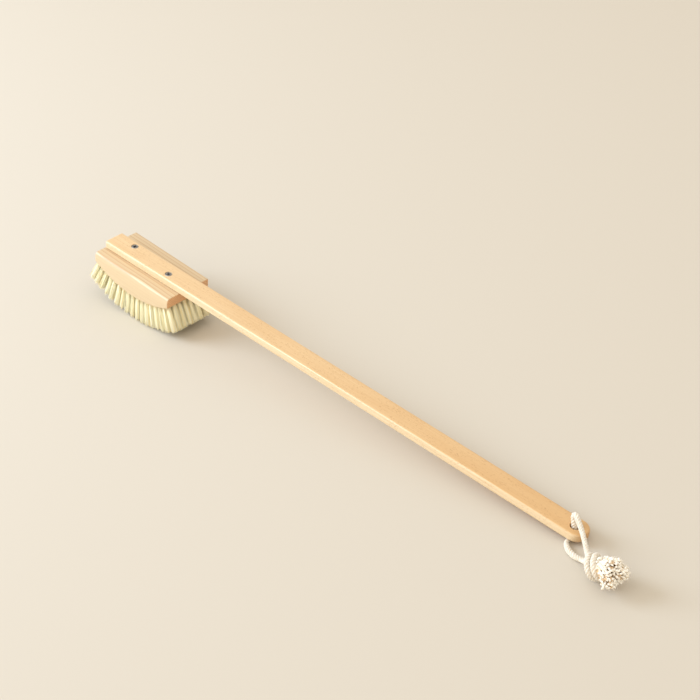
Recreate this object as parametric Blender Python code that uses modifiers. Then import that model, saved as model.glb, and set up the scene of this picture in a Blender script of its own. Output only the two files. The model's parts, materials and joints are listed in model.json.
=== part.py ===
"""Bath brush: a long beech handle screwed across the back of a curved brush head, rows of plant-fibre
tufts set in the head's rounded face, and a cotton hanging cord looped through the handle's end and tied
in an overhand knot. Units are metres and +Z is up. +X runs from the head to the handle's tail.

The brush is built level, in the frame of the empty brush_frame: X along the handle, Y across it and
Z = 0 on the head's flat back, where the handle lies. That frame is then tipped to the brush's rest on a
table, on its bristles and on the cord under its tail. The origin is the middle of the brush, without
its cord, on the table."""

import math
import random

import bmesh
import bpy
from mathutils import Matrix, Vector

# Fits that all pieces share
GAP = 0.0003  # between two pieces that touch
OVERRUN = 0.004  # how far a cutter reaches past what it cuts

# Handle
HANDLE_LENGTH = 0.580
HANDLE_WIDTH = 0.022
HANDLE_THICKNESS = 0.0085
HANDLE_EDGE_RADIUS = 0.0020
HANDLE_HEAD_INSET = 0.0012  # the handle stops this far short of the head's end
HANGING_HOLE_DIAMETER = 0.0095
HANGING_HOLE_FROM_TIP = 0.0125
HANGING_HOLE_CHAMFER = 0.0006

# Brush head: flat back, sides square to it, and a face that is an arc along the head
BLOCK_LENGTH = 0.105
BLOCK_WIDTH = 0.053
BLOCK_MIDDLE_THICKNESS = 0.0230
BLOCK_END_THICKNESS = 0.0104
BLOCK_NEAR_EDGE_RADIUS = 0.0045  # the back's long edge at -Y
BLOCK_FAR_EDGE_RADIUS = 0.0010  # the one at +Y, only broken
BLOCK_SKEW = math.radians(1.4)  # the head sits a little crooked and off centre under the handle
BLOCK_OFFSET = 0.0025

# Tufts of bristle, in rows across the head
TUFT_PITCH_ALONG = 0.0064
TUFT_PITCH_ACROSS = 0.0064
TUFT_DIAMETER = 0.0036  # at the wood
TUFT_EDGE_ALONG = 0.0031  # least distance from an end tuft's centre to the head's end
TUFT_EDGE_ACROSS = 0.0039
TUFT_SPREAD_SHARE = 1.55  # a tuft's diameter at its tip, of that at the wood
TUFT_LEAN = 0.0018  # how far the outer tufts lean out over the head's sides at their tips
BRISTLE_LENGTH = 0.0270
BRISTLE_UNEVENNESS = 0.0005
STRANDS_IN_TUFT = 3
STRAND_DIAMETER_SHARE = 0.42  # of the tuft's diameter
STRAND_SIDES = 4
STRAND_ROOT_DEPTH = 0.0010
SLICE_THICKNESS = 0.0025  # the slice of the head's face that holds a row
SLICE_LAND = 0.0003  # wood left on a slice beside its last tuft

# Countersunk screws that hold the handle to the head, seen from the handle's back
SCREW_LENGTH = 0.020
SCREW_SHANK_DIAMETER = 0.0035
SCREW_HEAD_DIAMETER = 0.0068
SCREW_HEAD_HEIGHT = 0.0023
SCREW_HEAD_RIM = 0.0003
SCREW_POINT_LENGTH = 0.0045
SCREW_POINT_DIAMETER = 0.0006
SCREW_SUNK = 0.0002
CROSS_WIDTH = 0.0034
CROSS_SLOT = 0.0009
CROSS_DEPTH = 0.0015
SCREW_ALONG_SHARES = {"head_screw_front": -0.237, "head_screw_rear": 0.290}  # of the head's length
SCREW_ACROSS_SHARES = {"head_screw_front": 0.18, "head_screw_rear": -0.16}  # of the handle's width

# Hanging cord. The routes are given from the foot of the hanging hole's axis, on the table.
CORD_DIAMETER = 0.0055
CORD_FLAT_SHARE = 0.10  # how much of the cord's diameter is pressed flat on the table
CORD_PINCH_SHARE = 0.77  # the cord's diameter where the handle's tail lies on it
FLOOR_FLAT = 0.0005  # depth that the bristle tips are pressed flat on the table
UPPER_ROUTE = (
    (-0.0004, -0.0003, 0.0085),
    (-0.0004, -0.0003, 0.0110),
    (-0.0014, 0.0004, 0.0164),
    (-0.0026, 0.0014, 0.0206),
    (0.0000, 0.0007, 0.0223),
    (0.0044, -0.0018, 0.0203),
    (0.0101, -0.0056, 0.0178),
    (0.0156, -0.0100, 0.0162),
    (0.0222, -0.0160, 0.0150),
    (0.0288, -0.0223, 0.0140),
    (0.0350, -0.0276, 0.0128),
    (0.0400, -0.0310, 0.0115),
)
UPPER_RADIUS_SHARES = (0.82, 0.82, 0.84, 0.86, 0.86, 0.84, 0.82, 0.82, 0.84, 0.88, 0.90, 0.90)
LOWER_ROUTE = (
    (-0.0004, -0.0003, 0.0082),
    (-0.0004, -0.0004, 0.0064),
    (-0.0002, -0.0013, 0.0041),
    (0.0001, -0.0034, 0.0021),
    (0.0002, -0.0060, 0.0017),
    (0.0004, -0.0088, 0.0017),
    (0.0013, -0.0123, 0.0018),
    (0.0049, -0.0165, 0.0023),
    (0.0098, -0.0200, 0.0024),
    (0.0151, -0.0220, 0.0024),
    (0.0197, -0.0226, 0.0027),
    (0.0250, -0.0232, 0.0042),
    (0.0305, -0.0254, 0.0066),
    (0.0370, -0.0295, 0.0090),
)
LOWER_RADIUS_SHARES = (
    0.77, 0.77, 0.77, 0.77, 0.77, 0.76, 0.82, 0.96, 1.05, 1.05, 1.05, 1.0, 0.95, 0.90,
)
ROUTE_STEPS = 3  # straight pieces of tube between two points of a route

# Overhand knot: two wraps of cord round a core
KNOT_CENTRE = (0.0416, -0.0320, 0.0112)
KNOT_AXIS = (0.92, 0.17, 0.35)
KNOT_WRAP_RADIUS = 0.0094
KNOT_WRAP_DIAMETER_SHARE = 1.0  # of the cord's diameter
KNOT_WRAP_SPACING_SHARE = 0.94
KNOT_CORE_LENGTH = 0.0170
KNOT_CORE_DIAMETER = 0.0184

# Frayed ends of the cord past the knot, which holds them clear of the table
FRAY_ROUTES = (
    ((0.0430, -0.0305, 0.0128), (0.0490, -0.0285, 0.0175), (0.0555, -0.0277, 0.0213), (0.0635, -0.0298, 0.0240)),
    ((0.0430, -0.0315, 0.0122), (0.0520, -0.0315, 0.0160), (0.0600, -0.0310, 0.0188), (0.0685, -0.0308, 0.0208)),
    ((0.0430, -0.0328, 0.0116), (0.0515, -0.0352, 0.0134), (0.0590, -0.0385, 0.0145), (0.0663, -0.0418, 0.0150)),
)
FRAY_RADIUS_SHARES = (0.95, 1.35, 1.80, 1.90)

# Fineness of the round stretches, in straight pieces
TAIL_STEPS = 20
EDGE_STEPS = 3
CORNER_STEPS = 6
FACE_STEPS = 34
ROUND_STEPS = 20
WRAP_STEPS = 24
WRAP_SIDES = 8

# Worked out from the sizes above
HALF_BLOCK = BLOCK_LENGTH / 2
FACE_RISE = BLOCK_MIDDLE_THICKNESS - BLOCK_END_THICKNESS
FACE_RADIUS = (HALF_BLOCK**2 + FACE_RISE**2) / (2 * FACE_RISE)
FACE_CENTRE_HEIGHT = FACE_RADIUS - BLOCK_MIDDLE_THICKNESS
TIP_RADIUS = FACE_RADIUS + BRISTLE_LENGTH
HANDLE_START = HANDLE_HEAD_INSET - HALF_BLOCK
HANDLE_END = HANDLE_START + HANDLE_LENGTH
HOLE_ALONG = HANDLE_END - HANGING_HOLE_FROM_TIP
HANDLE_BACK = GAP + HANDLE_THICKNESS
FACE_ARC = 2 * FACE_RADIUS * math.asin(HALF_BLOCK / FACE_RADIUS)
ROW_COUNT = int((FACE_ARC - 2 * TUFT_EDGE_ALONG) / TUFT_PITCH_ALONG) + 1
TUFTS_IN_ROW = int((BLOCK_WIDTH - 2 * TUFT_EDGE_ACROSS) / TUFT_PITCH_ACROSS) + 1
ROW_HALF_LENGTH = (TUFTS_IN_ROW - 1) * TUFT_PITCH_ACROSS / 2 + TUFT_DIAMETER / 2 + SLICE_LAND
CORD_FLAT = CORD_DIAMETER * CORD_FLAT_SHARE
TAIL_REST_HEIGHT = CORD_DIAMETER * CORD_PINCH_SHARE * (1 - CORD_FLAT_SHARE) + GAP


def rest_tilt():
    """The brush's tilt, tail down: its lowest bristles touch the table, flattened by FLOOR_FLAT, and the
    handle's underside is TAIL_REST_HEIGHT above the table at the hanging hole."""
    drop = TIP_RADIUS - FLOOR_FLAT - TAIL_REST_HEIGHT
    rise = FACE_CENTRE_HEIGHT - GAP
    return math.asin(drop / math.hypot(HOLE_ALONG, rise)) - math.atan2(rise, HOLE_ALONG)


TILT = rest_tilt()
BACK_HEIGHT = TIP_RADIUS - FLOOR_FLAT - FACE_CENTRE_HEIGHT * math.cos(TILT)


def clear_scene():
    for old in list(bpy.data.objects):
        bpy.data.objects.remove(old, do_unlink=True)


def new_collection(name):
    made = bpy.data.collections.new(name)
    bpy.context.scene.collection.children.link(made)
    return made


clear_scene()
PARTS = new_collection("bath_brush")
CUTTERS = new_collection("cutters")


def material(name, colour, roughness, metallic=0.0):
    made = bpy.data.materials.new(name)
    made.use_nodes = True
    shader = made.node_tree.nodes["Principled BSDF"]
    shader.inputs["Base Color"].default_value = (*colour, 1.0)
    shader.inputs["Roughness"].default_value = roughness
    shader.inputs["Metallic"].default_value = metallic
    return made


HANDLE_WOOD = material("handle_beech", (0.80, 0.53, 0.27), 0.50)
HEAD_WOOD = material("head_beech", (0.86, 0.62, 0.38), 0.55)
FIBRE = material("plant_fibre", (0.82, 0.74, 0.42), 0.70)
STEEL = material("dark_steel", (0.16, 0.16, 0.17), 0.35, 1.0)
COTTON = material("cotton_cord", (0.86, 0.81, 0.71), 0.90)


def empty(name, parent=None, location=(0, 0, 0), rotation=(0, 0, 0)):
    made = bpy.data.objects.new(name, None)
    PARTS.objects.link(made)
    made.parent = parent
    made.location = location
    made.rotation_euler = rotation
    return made


def add(name, data, parent, finish=None, location=(0, 0, 0), rotation=(0, 0, 0)):
    """A piece of the brush, or a cutter where it has no finish."""
    made = bpy.data.objects.new(name, data)
    if finish:
        PARTS.objects.link(made)
        data.materials.append(finish)
    else:
        CUTTERS.objects.link(made)
        made.hide_render = True
        made.display_type = "WIRE"
    made.parent = parent
    made.location = location
    made.rotation_euler = rotation
    return made


def combine(piece, other, operation="DIFFERENCE"):
    step = piece.modifiers.new(other.name, "BOOLEAN")
    step.operation = operation
    step.solver = "EXACT"
    step.object = other
    return step


def shade_round(mesh, sharp_angle=math.radians(40)):
    mesh.shade_smooth()
    mesh.set_sharp_from_angle(angle=sharp_angle)


def mesh_of(name, build):
    """A mesh made by a function that fills a bmesh."""
    shape = bmesh.new()
    build(shape)
    mesh = bpy.data.meshes.new(name)
    shape.to_mesh(mesh)
    shape.free()
    return mesh


def box_mesh(name, low, high):
    """A box between two corners."""
    low, high = Vector(low), Vector(high)

    def build(shape):
        size = Matrix.Diagonal((*(high - low), 1.0))
        bmesh.ops.create_cube(shape, size=1.0, matrix=Matrix.Translation((low + high) / 2) @ size)

    return mesh_of(name, build)


def flat_mesh(name, outline, thickness):
    """A plate of the given thickness, half above and half below the plane of its outline."""
    curve = bpy.data.curves.new(name, "CURVE")
    curve.dimensions = "2D"
    curve.fill_mode = "BOTH"
    curve.extrude = thickness / 2
    spline = curve.splines.new("POLY")
    spline.points.add(len(outline) - 1)
    for point, (x, y) in zip(spline.points, outline):
        point.co = (x, y, 0, 1)
    spline.use_cyclic_u = True
    return closed_mesh(name, curve)


def closed_mesh(name, curve):
    """The curve's surface as a mesh whose caps are welded on."""
    carrier = bpy.data.objects.new(name, curve)
    CUTTERS.objects.link(carrier)
    bpy.context.view_layer.update()
    evaluated = carrier.evaluated_get(bpy.context.evaluated_depsgraph_get())
    mesh = bpy.data.meshes.new_from_object(evaluated)
    bpy.data.objects.remove(carrier, do_unlink=True)
    mesh.name = name
    mesh.materials.clear()
    shape = bmesh.new()
    shape.from_mesh(mesh)
    bmesh.ops.remove_doubles(shape, verts=shape.verts, dist=GAP / 100)
    bmesh.ops.recalc_face_normals(shape, faces=shape.faces)
    shape.to_mesh(mesh)
    shape.free()
    return mesh


def turned(name, profile, parent, finish=None, location=(0, 0, 0)):
    """A turned shape: the profile's (radius, height) points run down its outer side, top to bottom."""

    def build(shape):
        corners = [shape.verts.new((radius, 0, height)) for radius, height in profile]
        for above, below in zip(corners, corners[1:]):
            shape.edges.new((above, below))

    made = add(name, mesh_of(name, build), parent, finish, location)
    spin = made.modifiers.new("turn", "SCREW")
    spin.steps = ROUND_STEPS
    spin.render_steps = ROUND_STEPS
    spin.use_merge_vertices = True
    spin.merge_threshold = GAP / 100
    spin.use_smooth_shade = False
    return made


def arc(centre, radius, start, stop, steps):
    """Points of a round stretch, from one angle to another."""
    for step in range(steps + 1):
        angle = start + (stop - start) * step / steps
        yield centre[0] + radius * math.cos(angle), centre[1] + radius * math.sin(angle)


# Handle

def make_handle(frame):
    half = HANDLE_WIDTH / 2
    tail = arc((HANDLE_END - half, 0), half, -math.pi / 2, math.pi / 2, TAIL_STEPS)
    outline = [(HANDLE_START, -half), *tail, (HANDLE_START, half)]
    middle = GAP + HANDLE_THICKNESS / 2
    handle = add("handle", flat_mesh("handle", outline, HANDLE_THICKNESS), frame, HANDLE_WOOD, (0, 0, middle))
    edges = handle.modifiers.new("rounded_edges", "BEVEL")
    edges.width = HANDLE_EDGE_RADIUS
    edges.segments = EDGE_STEPS
    edges.limit_method = "ANGLE"
    combine(handle, hanging_hole(frame))
    return handle


def hanging_hole(frame):
    """The cutter of the hanging hole, wider at both faces by its chamfer."""
    radius = HANGING_HOLE_DIAMETER / 2
    flare = radius + HANGING_HOLE_CHAMFER + OVERRUN
    profile = (
        (0, HANDLE_BACK + OVERRUN),
        (flare, HANDLE_BACK + OVERRUN),
        (radius, HANDLE_BACK - HANGING_HOLE_CHAMFER),
        (radius, GAP + HANGING_HOLE_CHAMFER),
        (flare, GAP - OVERRUN),
        (0, GAP - OVERRUN),
    )
    return turned("hanging_hole_cutter", profile, frame, location=(HOLE_ALONG, 0, 0))


# Brush head

def face_point(arc_length, radius):
    """A point over the curved face, by its distance along the face's arc and its radius."""
    angle = arc_length / FACE_RADIUS
    return radius * math.sin(angle), FACE_CENTRE_HEIGHT - radius * math.cos(angle)


def row_places():
    """Where the rows' middles lie along the face's arc."""
    first = -(ROW_COUNT - 1) * TUFT_PITCH_ALONG / 2
    return [first + TUFT_PITCH_ALONG * row for row in range(ROW_COUNT)]


def row_reach(row, side):
    """How far a row's slice reaches along the head from the row's middle, on one side of it."""
    last = 0 if side < 0 else ROW_COUNT - 1
    inner_pitch = TUFT_PITCH_ALONG * (FACE_RADIUS - SLICE_THICKNESS) / FACE_RADIUS
    if row == last:
        return TUFT_DIAMETER / 2 + SLICE_LAND
    return (inner_pitch - GAP) / 2


def make_head_block(frame):
    half = BLOCK_WIDTH / 2
    near_round, far_round = BLOCK_NEAR_EDGE_RADIUS, BLOCK_FAR_EDGE_RADIUS
    deep = -BLOCK_MIDDLE_THICKNESS - OVERRUN
    near = arc((near_round - half, -near_round), near_round, math.pi, math.pi / 2, CORNER_STEPS)
    far = arc((half - far_round, -far_round), far_round, math.pi / 2, 0, CORNER_STEPS // 2)
    section = [(-half, deep), *near, *far, (half, deep)]
    quarter = math.pi / 2
    block = add(
        "head_block",
        flat_mesh("head_block", section, BLOCK_LENGTH + 2 * OVERRUN),
        frame,
        HEAD_WOOD,
        rotation=(quarter, 0, quarter),
    )
    lower = math.asin(HALF_BLOCK / FACE_RADIUS)
    face = arc((0, FACE_CENTRE_HEIGHT), FACE_RADIUS, -quarter + lower, -quarter - lower, FACE_STEPS)
    side_view = [(-HALF_BLOCK, OVERRUN), (HALF_BLOCK, OVERRUN), *face]
    side = add(
        "head_side_view",
        flat_mesh("head_side_view", side_view, BLOCK_WIDTH + 2 * OVERRUN),
        frame,
        rotation=(quarter, 0, 0),
    )
    combine(block, side, "INTERSECT")
    combine(block, slice_recess(frame))
    return block


def slice_recess(frame):
    """The cutter of the recess in the face that the rows' slices fill."""
    floor = FACE_RADIUS - SLICE_THICKNESS - GAP
    places = row_places()
    ends = (places[0] - row_reach(0, -1) - GAP, places[-1] + row_reach(ROW_COUNT - 1, 1) + GAP)
    between = [place + TUFT_PITCH_ALONG / 2 for place in places[:-1]]
    roof = [face_point(place, floor) for place in (ends[0], *between, ends[1])]
    left, right = (face_point(end, FACE_RADIUS + OVERRUN) for end in ends)
    deep = -BLOCK_MIDDLE_THICKNESS - OVERRUN
    outline = [*roof, right, (right[0], deep), (left[0], deep), left]
    return add(
        "slice_recess_cutter",
        flat_mesh("slice_recess_cutter", outline, 2 * (ROW_HALF_LENGTH + GAP)),
        frame,
        rotation=(math.pi / 2, 0, 0),
    )


# Tufts

def strand_matrix(root, tip):
    """Places a unit-long strand, which runs along Z about its middle, from root to tip."""
    run = tip - root
    turn = Vector((0, 0, 1)).rotation_difference(run).to_matrix().to_4x4()
    return Matrix.Translation((root + tip) / 2) @ turn, run.length


def tuft_strands(shape, across, dice):
    """The strands of one tuft, which spread evenly from its root and never cross."""
    outermost = (TUFTS_IN_ROW - 1) * TUFT_PITCH_ACROSS / 2
    lean = TUFT_LEAN * across / max(outermost, TUFT_PITCH_ACROSS)
    strand_radius = TUFT_DIAMETER * STRAND_DIAMETER_SHARE / 2
    root_ring = TUFT_DIAMETER / 2 - strand_radius
    tip_ring = root_ring * TUFT_SPREAD_SHARE
    start = dice.uniform(0, 2 * math.pi)
    for strand in range(STRANDS_IN_TUFT):
        angle = start + 2 * math.pi * strand / STRANDS_IN_TUFT
        out = Vector((math.cos(angle), math.sin(angle), 0))
        root = Vector((0, across, STRAND_ROOT_DEPTH)) + out * root_ring
        length = BRISTLE_LENGTH - dice.uniform(0, BRISTLE_UNEVENNESS)
        tip = Vector((0, across + lean, -length)) + out * tip_ring
        place, reach = strand_matrix(root, tip)
        bmesh.ops.create_cone(
            shape,
            cap_ends=True,
            segments=STRAND_SIDES,
            radius1=strand_radius,
            radius2=strand_radius * TUFT_SPREAD_SHARE,
            depth=reach,
            matrix=place,
        )


def make_tuft_row(frame, row, place, floor):
    """One row of tufts, fused to the slice of the head's face that holds it."""
    name = f"tuft_row_{row + 1:02d}"
    x, z = face_point(place, FACE_RADIUS)
    low = (-row_reach(row, -1), -ROW_HALF_LENGTH, 0)
    high = (row_reach(row, 1), ROW_HALF_LENGTH, SLICE_THICKNESS)
    turn = (0, -place / FACE_RADIUS, 0)
    slab = add(name, box_mesh(name, low, high), frame, FIBRE, (x, 0, z), turn)
    dice = random.Random(row)

    def build(shape):
        first = -(TUFTS_IN_ROW - 1) * TUFT_PITCH_ACROSS / 2
        for tuft in range(TUFTS_IN_ROW):
            tuft_strands(shape, first + TUFT_PITCH_ACROSS * tuft, dice)

    strands = add(f"{name}_strands", mesh_of(f"{name}_strands", build), frame, None, (x, 0, z), turn)
    combine(slab, strands, "UNION")
    combine(slab, floor)
    return slab


# Screws

def screw_place(name):
    return BLOCK_LENGTH * SCREW_ALONG_SHARES[name], HANDLE_WIDTH * SCREW_ACROSS_SHARES[name]


def screw_profile(clearance):
    """A countersunk screw's profile, grown by a clearance for the hole that it goes in."""
    top = HANDLE_BACK - SCREW_SUNK
    head = SCREW_HEAD_DIAMETER / 2 + clearance
    shank = SCREW_SHANK_DIAMETER / 2 + clearance
    point = SCREW_POINT_DIAMETER / 2 + clearance
    foot = top - SCREW_LENGTH - clearance
    return (
        (0, top),
        (head, top),
        (head, top - SCREW_HEAD_RIM - clearance / 2),
        (shank, top - SCREW_HEAD_HEIGHT - clearance / 2),
        (shank, foot + SCREW_POINT_LENGTH),
        (point, foot),
        (0, foot),
    )


def make_screw(name, frame, handle, block):
    along, across = screw_place(name)
    screw = turned(name, screw_profile(0), frame, STEEL, (along, across, 0))
    top = HANDLE_BACK - SCREW_SUNK
    low = (-CROSS_WIDTH / 2, -CROSS_SLOT / 2, top - CROSS_DEPTH)
    high = (CROSS_WIDTH / 2, CROSS_SLOT / 2, top + OVERRUN)
    for turn in (0, 1):
        slot = add(
            f"{name}_slot_{turn + 1}",
            box_mesh(f"{name}_slot_{turn + 1}", low, high),
            frame,
            location=(along, across, 0),
            rotation=(0, 0, (turn + 0.5) * math.pi / 2),
        )
        combine(screw, slot)
    profile = list(screw_profile(GAP))
    profile[0] = (0, HANDLE_BACK + OVERRUN)
    profile[1] = (SCREW_HEAD_DIAMETER / 2 + GAP, HANDLE_BACK + OVERRUN)
    bore = turned(f"{name}_bore_cutter", profile, frame, location=(along, across, 0))
    combine(handle, bore)
    combine(block, bore)
    return screw


# Cord

def smooth_route(points, shares):
    """Points on a smooth curve through the route's points, each with its share of the cord's radius."""
    knots = [Vector((*point, share)) for point, share in zip(points, shares)]
    knots = [2 * knots[0] - knots[1], *knots, 2 * knots[-1] - knots[-2]]
    for before, here, there, after in zip(knots, knots[1:], knots[2:], knots[3:]):
        for step in range(ROUTE_STEPS):
            t = step / ROUTE_STEPS
            straight = here + (there - here) * t
            bend = (here * 2 - before - there) * (1 - t) + (there * 2 - here - after) * t
            yield straight + bend * (t * (1 - t) / 2)
    yield knots[-2]


def tube_mesh(name, points, shares, extra=0):
    """A round tube along a route. Extra is added to its radius all along."""
    curve = bpy.data.curves.new(name, "CURVE")
    curve.dimensions = "3D"
    curve.bevel_depth = CORD_DIAMETER / 2
    curve.bevel_resolution = 2
    curve.use_fill_caps = True
    places = list(smooth_route(points, shares))
    spline = curve.splines.new("POLY")
    spline.points.add(len(places) - 1)
    for point, place in zip(spline.points, places):
        point.co = (*place[:3], 1)
        point.radius = place[3] + extra / curve.bevel_depth
    return closed_mesh(name, curve)


def knot_shape(name, frame, finish, extra=0):
    """The knot's core and its two wraps, with extra added to every radius."""
    turn = Vector((0, 0, 1)).rotation_difference(Vector(KNOT_AXIS)).to_euler()
    scale = Matrix.Diagonal((KNOT_CORE_DIAMETER / 2 + extra, KNOT_CORE_DIAMETER / 2 + extra,
                             KNOT_CORE_LENGTH / 2 + extra, 1.0))

    def build(shape):
        bmesh.ops.create_uvsphere(shape, u_segments=16, v_segments=10, radius=1.0, matrix=scale)

    core = add(name, mesh_of(name, build), frame, finish, KNOT_CENTRE, turn)
    for side in (-1, 1):
        bpy.ops.mesh.primitive_torus_add(
            major_radius=KNOT_WRAP_RADIUS,
            minor_radius=CORD_DIAMETER * KNOT_WRAP_DIAMETER_SHARE / 2 + extra,
            major_segments=WRAP_STEPS,
            minor_segments=WRAP_SIDES,
        )
        made = bpy.context.object
        wrap_name = f"{name}_wrap_{'front' if side < 0 else 'rear'}"
        offset = Vector(KNOT_AXIS).normalized() * (side * CORD_DIAMETER * KNOT_WRAP_SPACING_SHARE / 2)
        wrap = add(wrap_name, made.data, frame, None, Vector(KNOT_CENTRE) + offset, turn)
        bpy.data.objects.remove(made, do_unlink=True)
        combine(core, wrap, "UNION")
    return core


def make_cord(frame, floor):
    clearance = knot_shape("knot_clearance_cutter", frame, None, GAP)
    routes = {
        "cord_upper": (UPPER_ROUTE, UPPER_RADIUS_SHARES),
        "cord_lower": (LOWER_ROUTE, LOWER_RADIUS_SHARES),
    }
    for name, (points, shares) in routes.items():
        strand = add(name, tube_mesh(name, points, shares), frame, COTTON)
        combine(strand, clearance)
        combine(strand, floor)
        shade_round(strand.data)
    knot = knot_shape("cord_knot", frame, COTTON)
    combine(knot, floor)
    frays = [tube_mesh(f"fray_{number + 1}", route, FRAY_RADIUS_SHARES) for number, route in enumerate(FRAY_ROUTES)]
    ends = add("cord_frayed_ends", frays[0], frame, COTTON)
    for number, mesh in enumerate(frays[1:]):
        combine(ends, add(f"fray_cutter_{number + 2}", mesh, frame), "UNION")
    combine(ends, clearance)
    combine(ends, floor)


def stand_over_origin(frames, pieces):
    """Moves the frames in X and Y until the middle of the pieces' box is over the origin."""
    bpy.context.view_layer.update()
    graph = bpy.context.evaluated_depsgraph_get()
    corners = [
        piece.matrix_world @ vertex.co
        for piece in pieces
        for vertex in piece.evaluated_get(graph).data.vertices
    ]
    for axis in (0, 1):
        values = [corner[axis] for corner in corners]
        for frame in frames:
            frame.location[axis] -= (min(values) + max(values)) / 2


def build_brush():
    brush = empty("brush_frame", location=(0, 0, BACK_HEIGHT), rotation=(0, TILT, 0))
    head = empty("head_frame", brush, (0, BLOCK_OFFSET, 0), (0, 0, -BLOCK_SKEW))
    foot = HOLE_ALONG * math.cos(TILT) + GAP * math.sin(TILT)
    cord = empty("cord_frame", location=(foot, 0, 0))
    deep = HANDLE_LENGTH
    low, high = (-deep, -deep, -deep), (deep, deep, 0)
    floor = add("table_cutter", box_mesh("table_cutter", low, high), None)
    handle = make_handle(brush)
    block = make_head_block(head)
    screws = [make_screw(name, brush, handle, block) for name in SCREW_ALONG_SHARES]
    rows = [make_tuft_row(head, row, place, floor) for row, place in enumerate(row_places())]
    stand_over_origin((brush, cord), [handle, block, *screws, *rows])
    make_cord(cord, floor)


build_brush()
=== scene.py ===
import json
import math
import random

import bmesh
import bpy
import numpy as np
from mathutils import Matrix, Vector


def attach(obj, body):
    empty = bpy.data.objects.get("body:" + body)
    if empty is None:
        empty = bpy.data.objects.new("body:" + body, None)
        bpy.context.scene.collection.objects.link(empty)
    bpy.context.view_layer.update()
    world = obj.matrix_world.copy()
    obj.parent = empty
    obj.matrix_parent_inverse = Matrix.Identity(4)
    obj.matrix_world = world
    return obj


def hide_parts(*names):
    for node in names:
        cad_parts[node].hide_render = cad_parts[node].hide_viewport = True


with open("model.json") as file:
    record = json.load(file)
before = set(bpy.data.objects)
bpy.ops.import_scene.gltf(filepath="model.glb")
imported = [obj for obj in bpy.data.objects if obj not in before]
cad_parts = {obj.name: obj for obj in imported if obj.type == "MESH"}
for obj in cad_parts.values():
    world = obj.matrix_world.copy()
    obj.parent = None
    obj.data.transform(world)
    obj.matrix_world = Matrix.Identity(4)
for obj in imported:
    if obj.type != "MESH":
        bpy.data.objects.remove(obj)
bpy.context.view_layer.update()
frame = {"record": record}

BODY = "root"
SMALLEST = 1e-6
SHARP_ANGLE = math.radians(35)  # edges sharper than this stay crisp
CUT_PAST = 0.004  # how far a cutter stands out of what it cuts
BUMP_DEPTH = 0.0002

# Handle
GAP = 0.0003  # clearance between pieces that touch
HANDLE_LENGTH = 0.580
HANDLE_WIDTH = 0.022
HANDLE_THICKNESS = 0.0085
HANDLE_EDGE_RADIUS = 0.0020
HANDLE_EDGE_STEPS = 7
HANDLE_TAIL_STEPS = 40
HANDLE_HEAD_INSET = 0.0012
HANGING_HOLE_DIAMETER = 0.0095
HANGING_HOLE_FROM_TIP = 0.0125
HANGING_HOLE_CHAMFER = 0.0006
HOLE_STEPS = 48
MOUNT_ALONG = 0.240  # where the record's mount lies on the handle's back

# Head
BLOCK_LENGTH = 0.105
BLOCK_WIDTH = 0.053
BLOCK_MIDDLE_THICKNESS = 0.0230
BLOCK_END_THICKNESS = 0.0104
BLOCK_NEAR_EDGE = (0.0045, 9)  # radius and steps of the back's long edges
BLOCK_FAR_EDGE = (0.0010, 3)
BLOCK_ARRIS_RADIUS = 0.0008
BLOCK_ARRIS_ANGLE = math.radians(40)  # edges sharper than this are arrises
BLOCK_STATIONS = 60
BLOCK_SKEW = math.radians(1.4)  # how far it is turned and shifted under the handle
BLOCK_OFFSET = 0.0025

RING_STEP = 0.0021  # growth rings, how far they wander, and where their middle lies under the back
RING_WANDER = 0.0022
RING_DEPTH = 0.030
RING_ACROSS = -0.001

# Tufts
ROWS = 17
TUFTS_IN_ROW = 8
TUFT_PITCH = 0.0064
TUFT_RADIUS = 0.0022
TUFT_TIP_RADIUS = 0.0032
TUFT_LEAN = 0.0016  # how far the tufts at a row's ends lean outwards, at their tips
TUFT_STRAY = 0.0007  # how far a fibre's tip strays by chance
TUFT_SWAY = 0.0008  # how far a whole tuft may lean by chance, at its tips
TUFT_HOLE_RADIUS = 0.0024
TUFT_HOLE_DEPTH = 0.0022
TUFT_HOLE_STEPS = 16
BRISTLE_LENGTH = 0.0270
FIBRES_IN_TUFT = 76
FIBRE_RADIUS = 0.00023
FIBRE_THICKNESS = (0.75, 1.25)  # the thinnest and the thickest, in that radius
FIBRE_TAPER = 0.25
FIBRE_SHORT = 0.0016  # how much shorter the shortest one is
FIBRE_EVENNESS = 2.5  # the higher, the fewer are short
FIBRE_CROWDING = 0.45  # the lower, the more fibres stand at the tuft's outside
FIBRE_BOW = 7.0  # in radii of the fibre
FIBRE_RINGS = 5
FIBRE_SIDES = 3
ROW_SEEDS = 1000  # how far apart the random numbers of two rows start
TUFT_CORE = 0.90  # how much of a tuft's radius is packed too densely to see between its fibres
TUFT_CORE_SIDES = 30
TUFT_CORE_GROOVE = 0.10  # how deep its grooves are, in its radii
TUFT_CORE_LENGTH = 0.93  # in lengths of the bristles

# Screws
SCREW_HEAD_RADIUS = 0.0034
SCREW_SHANK_RADIUS = 0.00175
SCREW_LENGTH = 0.020
SCREW_SUNK = 0.0002
SCREW_STRAIGHT = 0.8  # how much of its length lies above its point
SCREW_STEPS = 48
SCREW_DISH = 0.1  # in radii of the head
SCREW_RECESS = (0.56, 0.17, 0.6)  # reach of the cross, half its blade and its depth, in radii of the head
SCREW_RECESS_CONE = (0.5, 2.5)  # radii of its middle at its foot and its top, in half blades
SCREW_RECESS_STEPS = 24
SCREW_PLACES = {"head_screw_front": (-0.024885, 0.00396), "head_screw_rear": (0.03045, -0.00352)}
SCREW_TURNS = {"head_screw_front": 28, "head_screw_rear": 61}  # of each cross recess, in degrees

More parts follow.
